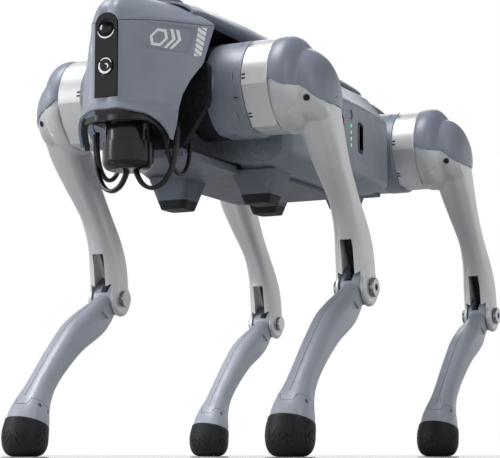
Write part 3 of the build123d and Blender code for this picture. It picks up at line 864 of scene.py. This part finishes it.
def build_calf():
    made = solid("calf", limb_rows(calf_stations, 6, count=72, power=calf_power))
    knee_arm = 15.0
    lever_angle = math.radians(116)
    reach = Vector((math.cos(lever_angle), 0, math.sin(lever_angle))) * knee_arm
    lever = Vector((knee.x, 0, knee.z)) + reach
    tongue = hull_prism(circle(17, (knee.x, knee.z)) + circle(7, (lever.x, lever.z)), (131, 153))
    bevelled(tongue, 1.2, segments=2, angle=50)
    combine(made, tongue, "UNION")
    cut(made, ankle_slab(0, -slab_reach))
    # room for the rod's lower eye and its sweep, and the knee pin's bore
    cut(made, hull_prism(circle(6.5, (lever.x, lever.z)) + rod_sweep(lever), (135.2, 143.8)))
    cut(made, turned("cutter", ((125, 6.1), (160, 6.1)), (knee.x, 0, knee.z), count=40))
    for side in (-1, 1):
        cut(made, knee_recess(side))
    front_line = [calf_surface(0.10 + 0.72 * k / 40, 0.0) for k in range(41)]
    seam_width, seam_depth = 0.55, 0.9
    cut(made, seam(front_line, seam_width, seam_depth))
    cut(made, seam(cuff_path(), seam_width, seam_depth, closed=True))
    for angle in (62, 100, -62, -100):
        place, outward = calf_surface(0.865, math.radians(angle))
        cut(made, drill(place, -outward, 2.1, 3.0))
    return made


def hull_prism(points, span):
    """The convex outline round some points in the leg's plane, extruded across it."""
    ordered = sorted(set(points))

    def half(sequence):
        chain = []
        for p in sequence:
            while len(chain) > 1 and (
                (chain[-1][0] - chain[-2][0]) * (p[1] - chain[-2][1])
                - (chain[-1][1] - chain[-2][1]) * (p[0] - chain[-2][0])
            ) <= 0:
                chain.pop()
            chain.append(p)
        return chain[:-1]

    return prism("hull", half(ordered) + half(reversed(ordered)), span)


def rod_sweep(lever):
    """Corners of the room that the rod sweeps through beyond the lever's pin."""
    points = []
    for angle in range(-8, 100, 12):
        direction = Vector((math.cos(math.radians(angle)), math.sin(math.radians(angle))))
        for offset in (-4, 4):
            points.append((lever.x + direction.x * 26 - direction.y * offset,
                           lever.z + direction.y * 26 + direction.x * offset))
    return points


def seam(line, width, depth, closed=False):
    return ribbon("seam", [p for p, _ in line], [n for _, n in line], width, depth, closed)


def cuff_path():
    """The seam round the cuff, which dips into a narrow tongue at the front ridge."""
    high, low, half = 0.845, 0.885, math.radians(15)
    line = []
    for k in range(96):
        angle = -math.pi + math.tau * k / 96
        edge = abs(angle)
        if edge < half:
            along = low
        elif edge < half + 0.16:
            along = low + (high - low) * (edge - half) / 0.16
        else:
            along = high - 0.012 * math.sin(min(edge, math.pi))
        line.append(calf_surface(along, angle))
    return line


def knee_recess(side):
    """A shallow three-cornered pocket low on each side of the calf's top."""
    outline = rounded([(-89, 142), (-54, 138.5), (-68, 152)], 2.5)
    y_face = leg_y + side * 17
    y_deep = leg_y + side * 10.2
    rows = [[(x, y, z) for x, z in outline] for y in sorted((y_face + side * 4, y_deep))]
    return solid("recess", rows)


foot_profile = (  # height above the floor, radius
    (0.0, 12.0), (0.8, 15.2), (3.2, 18.6), (7.5, 21.2), (13.0, 22.6), (20.0, 23.0), (27.0, 22.7),
    (33.0, 21.6), (44.0, 19.8),
)


def build_foot():
    rows = []
    for z, radius in through(foot_profile, 5):
        drift = -max(z - 20, 0) * 0.16
        rows.append([(foot_x + x + drift, leg_y + y, z) for x, y in circle(radius, count=96)])
    made = solid("foot", rows)
    cut(made, ankle_slab(-0.3, slab_reach))
    for height in (20.5, 14.0):
        for turn in range(4):
            cut(made, foot_groove(height, math.tau * turn / 4))
    return bevelled(made, 0.5, segments=2, angle=60)


def foot_groove(height, turn):
    """One zig-zag tread groove on a quarter of the foot."""
    tall = 4.2
    shape = ((-34, 0.9), (-30, 0.9), (-27, -0.6), (-20, -0.6), (-10, 0.9), (0, -0.3), (10, 0.9),
             (20, -0.6), (27, -0.6), (30, 0.9), (34, 0.9))
    line = []
    for degrees, rise in shape:
        angle = turn + math.radians(degrees)
        z = height + rise * tall
        radius = between(z, foot_profile)[0]
        outward = Vector((math.cos(angle), math.sin(angle), 0))
        line.append((Vector((foot_x, leg_y, z)) + outward * radius, outward))
    return seam(line, 0.9, 1.0)


# Head -------------------------------------------------------------------------------------------

head_back = 254.0
seam_front, seam_rear = 394.0, 402.6
head_sections = (  # height, then x and y of the front, corner, side and rear edge of half the plan
    (289.5, 342.5, 14.2, 332.0, 31.5, 315.0, 43.8, 300.0, 49.5),
    (303.5, 342.2, 14.2, 331.6, 31.5, 314.5, 44.0, 297.2, 51.6),
    (311.0, 341.4, 14.0, 330.5, 30.8, 313.5, 43.6, 296.2, 52.0),
    (316.0, 340.0, 13.7, 328.6, 28.8, 311.0, 42.0, 295.6, 52.2),
    (319.5, 338.6, 13.3, 326.4, 26.4, 308.2, 40.2, 295.0, 52.6),
    (321.5, 338.1, 13.1, 325.4, 25.2, 307.0, 39.4, 294.5, 52.8),
    (332.0, 338.0, 13.0, 325.1, 24.6, 305.6, 38.9, 291.0, 54.0),
    (347.0, 338.0, 13.0, 325.0, 24.5, 304.8, 38.4, 283.0, 58.2),
    (356.0, 338.0, 13.0, 325.0, 24.5, 304.6, 38.1, 276.5, 61.8),
    (361.5, 338.0, 13.0, 325.0, 24.5, 304.6, 38.0, 272.2, 64.0),
    (364.5, 338.0, 13.0, 325.0, 24.5, 304.6, 38.0, 270.8, 64.9),
    (394.0, 338.0, 13.0, 325.0, 24.4, 304.6, 37.4, 259.0, 67.8),
    (403.0, 338.0, 13.0, 325.0, 24.3, 304.6, 37.0, 255.3, 68.6),
)
lip_edge = (  # x, height of the lip's lower edge
    (297.0, 288.0), (300.0, 289.5), (307.0, 296.5), (315.0, 303.0), (323.0, 308.0), (330.0, 311.0),
    (343.0, 314.2),
)
crown_levels = (  # share of the way up, stretch forward, spread sideways
    (0.0, 1.0, 1.0),
    (0.08, 1.0, 0.975),
    (0.18, 0.998, 0.91),
    (0.33, 0.988, 0.80),
    (0.50, 0.945, 0.67),
    (0.70, 0.83, 0.50),
    (0.85, 0.65, 0.34),
    (0.95, 0.38, 0.19),
    (1.0, 0.03, 0.03),
)
crown_top = 433.6
half_seam = 0.35
head_columns = 96


def spot_on(points, share):
    """A point of the smooth curve through the points, share 0 at its start and 1 at its end."""
    spans = len(points) - 1
    index = min(int(share * spans), spans - 1)
    t = share * spans - index
    p, q, r, s = (
        Vector(points[k]) for k in (max(index - 1, 0), index, index + 1, min(index + 2, spans))
    )
    return 0.5 * (2 * q + (r - p) * t + (2 * p - 5 * q + 4 * r - s) * t**2 + (3 * q - p - 3 * r + s) * t**3)


def head_point(share, z):
    """A point of the head's side, share 0 at the front and 1 at its rear edge, negative on the right."""
    x1, y1, x2, y2, x3, y3, x4, y4 = between(z, head_sections)
    spot = spot_on([(x1, 0), (x1, y1), (x2, y2), (x3, y3), (x4, y4)], abs(share))
    return Vector((spot.x, math.copysign(spot.y, share), z))


def head_outward(share, z):
    step = 0.004
    ahead = head_point(min(share + step, 1), z) - head_point(max(share - step, -1), z)
    return ahead.cross(Vector((0, 0, 1))).normalized()


def seam_height(share):
    return seam_front + (seam_rear - seam_front) * abs(share) ** 1.2


def eased(value, start, end):
    t = max(0.0, min(1.0, (value - start) / (end - start)))
    return t * t * (3 - 2 * t)


def cheek_recess(back, z):
    """How deep the cheek's panel lies, back being the way from the head's rear edge."""
    shape = eased(back, 15.5, 22.5) * (1 - eased(back, 48, 84))
    return 1.7 * shape * eased(z, 372.0, 374.2) * (1 - eased(z, 395.0, 398.5))


def back_lengths(z):
    """Pairs (way from the rear edge, share) along the head's side at a height."""
    table = [(0.0, 1.0)]
    spot = head_point(1, z)
    for step in range(1, 61):
        share = 1 - step / 60
        following = head_point(share, z)
        table.append((table[-1][0] + (following - spot).length, share))
        spot = following
    return table


def head_rows():
    """The head's side from the lip to the seam, with the cheek panels sunk."""
    rows = []
    levels = 112
    for level in range(levels + 1):
        row = []
        for column in range(-head_columns, head_columns + 1):
            share = column / head_columns
            low = between(head_point(share, 305)[0], lip_edge)[0]
            z = low + (seam_height(share) - half_seam - low) * level / levels
            row.append(head_point(share, z))
        half = head_columns
        lengths = [0.0]
        for near, far in zip(row[:half], row[1:half + 1]):
            lengths.append(lengths[-1] + (far - near).length)
        for index, place in enumerate(row):
            share = (index - head_columns) / head_columns
            back = lengths[min(index, 2 * half - index)]
            depth = cheek_recess(back, place.z)
            if depth > 0:
                row[index] = place - head_outward(share, place.z) * depth
        rows.append(row)
    return rows


def crown_rows():
    rows = []
    for up, stretch, spread in through(crown_levels, 5):
        row = []
        for column in range(-head_columns, head_columns + 1):
            share = column / head_columns
            base = seam_height(share) + half_seam
            foot = head_point(share, seam_height(share))
            x = head_back + 1 + (foot.x - head_back - 1) * stretch
            row.append(Vector((x, foot.y * spread, base + (crown_top - base) * up)))
        rows.append(row)
    return rows


def window_cutter():
    """The pill-shaped opening for the window, through both parts of the head."""
    half, bottom, top = 12.35, 324.65, 404.35
    outline = [(-half, bottom), (half, bottom)]
    steps = 24
    for step in range(steps + 1):
        angle = math.pi * step / steps
        outline.append((half * math.cos(angle), top - half + half * math.sin(angle)))
    return prism("cutter", outline, (322, 345), axis="x")


def build_head():
    made = thickened(solid("head", head_rows(), ring=False), 2.6)
    cut(made, window_cutter())
    bevelled(made, 0.5, segments=3, angle=60)
    trunk_piece(made, "head_form", "body_grey", replaces=["head_shell"], angle=30)
    crown = thickened(solid("crown", crown_rows(), ring=False), 2.4)
    cut(crown, window_cutter())
    trunk_piece(crown, "crown_form", "body_grey", replaces=["head_crown"])


def on_head(side, back, z, lift):
    """A point on the cheek, back being the way from the head's rear edge."""
    share = side * between(back, back_lengths(z))[0]
    return head_point(share, z) + head_outward(share, z) * (lift - cheek_recess(back, z))


def printed(name, side, quads, material):
    """Flat marks that follow the head's side. A quad is four (way from the edge, height) corners."""
    lift, thickness, steps = 0.1, 0.3, 4
    points, faces = [], []
    for quad in quads:
        a, b, c, d = (Vector(p) for p in quad)
        base = len(points)
        for j in range(steps + 1):
            for i in range(steps + 1):
                low, high = a.lerp(b, i / steps), d.lerp(c, i / steps)
                back, z = low.lerp(high, j / steps)
                points.append(on_head(side, back, z, lift))
        wide = steps + 1
        for j in range(steps):
            for i in range(steps):
                k = base + j * wide + i
                faces.append((k, k + 1, k + wide + 1, k + wide))
    made = thickened(mesh_object(name, points, faces), thickness, offset=0)
    return trunk_piece(made, name, material, slot="body_grey")


def build_cheek_marks():
    """A hexagon ring and two chevrons in place of lettering, and a row of slanted bars."""
    centre = Vector((52.0, 384.5))
    outer, inner = 9.6, 6.6
    mark = []
    for k in range(6):
        a, b = math.tau * k / 6, math.tau * (k + 1) / 6
        mark.append(
            [centre + Vector((math.cos(t), math.sin(t))) * r
             for t, r in ((a, inner), (b, inner), (b, outer), (a, outer))]
        )
    for tip_back in (28.6, 34.6):
        for way in (-1, 1):
            tip = Vector((tip_back, 384.5))
            tail = tip + Vector((5.6, way * 9.4))
            wide = Vector((3.4, 0))
            mark.append([tip, tail, tail + wide, tip + wide])
    top, drop, period, thick = 399.3, 4.3, 5.1, 3.8

    def strip(across, z):
        """A place in the slanting strip of bars, across it from 0 at the front to 1 at the back."""
        down = (top - z) / 29.3
        return (16.4 - 4.6 * down - across * (9.2 - 1.8 * down), z)

    bars = [[strip(0.3, top), strip(0.65, top), strip(1, top), strip(1, top - 3.4)]]
    for k in range(5):
        high = top - 0.4 - k * period
        low = high - thick
        bars.append([strip(0, high), strip(1, high - drop), strip(1, low - drop), strip(0, low)])
    high = top - 0.4 - 5 * period
    bars.append([strip(0, high), strip(0.75, high - 3.2), strip(0.4, high - 3.3), strip(0, high - 3.4)])
    for side, word in ((1, "left"), (-1, "right")):
        printed(f"cheek_mark_{word}", side, mark, "print_and_reflection_white")
        printed(f"cheek_bars_{word}", side, bars, "print_and_reflection_white")


def arc_band(name, centre, radii, angles, levels, taper):
    """A flat crescent across x, between two radii, thinning towards its ends by taper."""
    rows = []
    steps = 40
    for step in range(steps + 1):
        share = step / steps
        angle = math.radians(angles[0] + (angles[1] - angles[0]) * share)
        thin = (radii[1] - radii[0]) * taper * abs(2 * share - 1) ** 2 / 2
        inner, outer = radii[0] + thin, radii[1] - thin
        section = ((inner, levels[0]), (outer, levels[0]), (outer, levels[1]), (inner, levels[1]))
        y, z = math.cos(angle), math.sin(angle)
        rows.append([(level, centre[0] + radius * y, centre[1] + radius * z) for radius, level in section])
    return solid(name, rows)


def build_window_marks():
    """The painted reflection of a bright crescent under the upper lens, and the lamp's ring and reflector."""
    low, high = corners("camera_lenses")
    face = high.x - mid_x
    radius = (high.y - low.y) / 2
    upper, lower = high.z - radius, low.z + radius
    levels = (face - 0.6, face + 0.3)
    # Painted reflection: a flat white crescent under the upper lens stands in for light caught on its rim.
    arc = arc_band("lens_reflection_arc", (0, upper), (8.2, 9.6), (196, 344), (face - 0.6, face + 0.25), taper=0.8)
    trunk_piece(arc, "lens_reflection_arc", "print_and_reflection_white", slot="lens_black")
    ring = join(
        "lamp_ring",
        [
            arc_band("ring", (0, lower), (5.4, 7.6), (150, 330), levels, taper=0.5),
            arc_band("ring", (0, lower), (6.3, 7.4), (20, 140), levels, taper=0.7),
            arc_band("ring", (0.4, lower - 0.6), (1.6, 3.0), (-60, 120), levels, taper=0.9),
        ],
    )
    trunk_piece(ring, "lamp_ring", "lamp_silver", slot="lens_black")
    dome = ((-0.5, 6.6), (0.2, 6.4), (0.8, 4.8), (1.1, 2.6), (1.2, 0.3))
    profile = [(face + proud, radius) for proud, radius in dome]
    glass = turned("lens_glass", profile, (0, 0, upper), axis="x", count=48)
    trunk_piece(glass, "lens_glass", "glass_dark", slot="lens_black")


# Lidar cage -------------------------------------------------------------------------------------

cage_hoops = (  # y and z along one of the two loops, from the middle outwards
    (-1.0, 303.0), (0.5, 284.0), (4.0, 266.0), (11.0, 252.0), (21.0, 246.5), (31.0, 250.5),
    (38.5, 262.0), (42.5, 279.0), (44.5, 303.0),
)


def strap(name, path, wide, thick, across):
    """A flat bar along a path, wide along a fixed direction, with slightly rounded corners."""
    across = Vector(across).normalized()
    rows = []
    section = rounded(box_outline(wide, thick), min(wide, thick) * 0.3, 3)
    for index, here in enumerate(path):
        after = Vector(path[min(index + 1, len(path) - 1)])
        before = Vector(path[max(index - 1, 0)])
        out = (after - before).normalized().cross(across).normalized()
        rows.append([Vector(here) + across * a + out * b for a, b in section])
    return solid(name, rows)


def build_cage():
    """Two loops side by side under the lip, side bows behind them and the band they hang from."""
    pieces = []
    for side in (-1, 1):
        loop = [(291 - 0.004 * y * y, side * y, z) for y, z in through(cage_hoops, 8)]
        pieces.append(strap("loop", loop, 6.5, 4.4, (1, 0, 0)))
        bow = [
            (268 + 25 * math.cos(t), side * (36 + 2.5 * math.sin(t)), 303 - 42 * math.sin(t))
            for t in (math.pi * k / 32 for k in range(33))
        ]
        pieces.append(strap("bow", bow, 4.4, 4.4, (0, 1, 0)))
        brace = [(300 + 0.2 * (303 - z), side * 17, z) for z in (303, 295, 288, 281, 275)]
        pieces.append(strap("brace", brace, 3.6, 3.6, (0, 1, 0)))
    rows = []
    half_wall, half_height = 2.2, Vector((0, 0, 2.6))
    for step in range(-40, 41):
        share = step / 40 * 0.97
        z = between(head_point(share, 305).x, lip_edge)[0]
        spot = head_point(share, z) - head_outward(share, z) * 6.5
        here = Vector((spot.x, spot.y, min(z - 1.5, 306.5)))
        away = Vector((spot.x - 285, spot.y, 0)).normalized() * half_wall
        rows.append([here - away - half_height, here + away - half_height,
                     here + away + half_height, here - away + half_height])
    pieces.append(solid("band", rows))
    return join("cage", pieces)


# Top cover --------------------------------------------------------------------------------------

cover_stations = (  # x, half width, height of the edge, height of the ridge
    (-265, 42, 402, 411),
    (-255, 43, 406, 416),
    (-240, 43.5, 409.5, 421),
    (-205, 43.5, 412.5, 426),
    (-165, 44.5, 413, 428),
    (-125, 59, 411.5, 430),
    (-60, 63, 411.5, 431.5),
    (0, 64, 411.5, 434),
    (60, 64, 412, 437.5),
    (120, 62, 413.5, 440),
    (165, 53, 419, 441),
    (200, 50, 420.5, 439.5),
    (235, 50, 420, 436.5),
    (262, 50, 417, 433),
)


def cover_profile(half, edge, ridge):
    """Half of the cover's section, from the ridge to the turned-in lower edge."""
    rise = ridge - edge
    return (
        (0.0, ridge),
        (half * 0.30, ridge - rise * 0.05),
        (half * 0.58, ridge - rise * 0.20),
        (half * 0.80, ridge - rise * 0.45),
        (half * 0.93, ridge - rise * 0.72),
        (half - 0.3, edge + 1.6),
        (half - 1.0, edge - 0.4),
        (half - 5.0, edge - 3.2),
        (half - 11.0, edge - 5.0),
    )


def build_cover():
    rows = []
    for x, half, edge, ridge in through(cover_stations, 6):
        side = through(cover_profile(half, edge, ridge), 4)
        row = [(x, y, z) for y, z in reversed(side)] + [(x, -y, z) for y, z in side[1:]]
        rows.append(row)
    made = thickened(solid("cover", rows, ring=False), 2.4)
    puck_low, puck_high = corners("antenna_puck")
    puck_x = (puck_low.x + puck_high.x) / 2 - mid_x
    seat_radius = 18.6
    seat = ((puck_low.z - 6, seat_radius), (460, seat_radius))
    cut(made, turned("cutter", seat, (puck_x, 0, 0), axis="z"))
    bevelled(made, 0.5, segments=2, angle=60)
    trunk_piece(made, "cover_form", "body_grey", replaces=["top_cover"])
    tail = prism("tail", rounded(box_outline(88, 112, (0, 352)), 18, 10), (-266, -262), axis="x")
    bevelled(tail, 1.2, segments=3)
    trunk_piece(tail, "tail_wall", "body_grey")


# Battery face -----------------------------------------------------------------------------------

hull_side = ((0.0, 100.0), (64.0, 98.0), (128.0, 90.5))  # way from the middle of the hull, half width


def side_y(x):
    return between(abs(x), through(hull_side, 12))[0]


def side_piece(name, outline, lift, thickness):
    """A plate that follows the hull's side, from an outline in (x, z)."""
    xs = [x for x, _ in outline]
    y = side_y(sum(xs) / len(xs))
    return prism(name, outline, (y - thickness, y + lift))


def build_battery_face():
    """The charge lights and the rims round the two finger grips."""
    lights = [side_piece("light", rounded(box_outline(1.9, 3.6, (0, z)), 0.9), 0.35, 1.0)
              for z in (328, 335, 342, 349)]
    trunk_piece(join("lights", lights), "charge_lights", "charge_green", body="battery", slot="lens_black")
    rims = []
    for side in (-1, 1):
        middle = (side * 27, 340)
        rim = side_piece("rim", rounded(box_outline(21.5, 38.5, middle), 6.6), 1.0, 1.5)
        cut(rim, side_piece("cutter", rounded(box_outline(16.5, 33.5, middle), 4.4), 4.0, 4.0))
        rims.append(bevelled(rim, 0.7, segments=3, angle=50))
    trunk_piece(join("rims", rims), "grip_rims", "body_grey", body="battery")


# CAD nodes that stay ----------------------------------------------------------------------------


def dress_cad_nodes():
    """Give each CAD node its procedural finish, by the material slot in the record."""
    slots = {entry["node"]: entry["material_slot"] for entry in frame["record"]["subparts"]}
    for name, node in frame["nodes"].items():
        node.data.materials.clear()
        node.data.materials.append(MATERIALS[slots[name]])


studio()
build_thigh_and_cap()
build_hip_looks()
build_battery_face()
stamp(build_calf(), "calf_form", "calf_grey", "calf", stands_for=["calf"])
stamp(build_foot(), "foot_rubber", "black_rubber", "calf", stands_for=["foot_pad"])
build_head()
build_cheek_marks()
build_window_marks()
trunk_piece(build_cage(), "cage_form", "cage_black", replaces=["lidar_cage"], angle=40)
build_cover()
dress_cad_nodes()
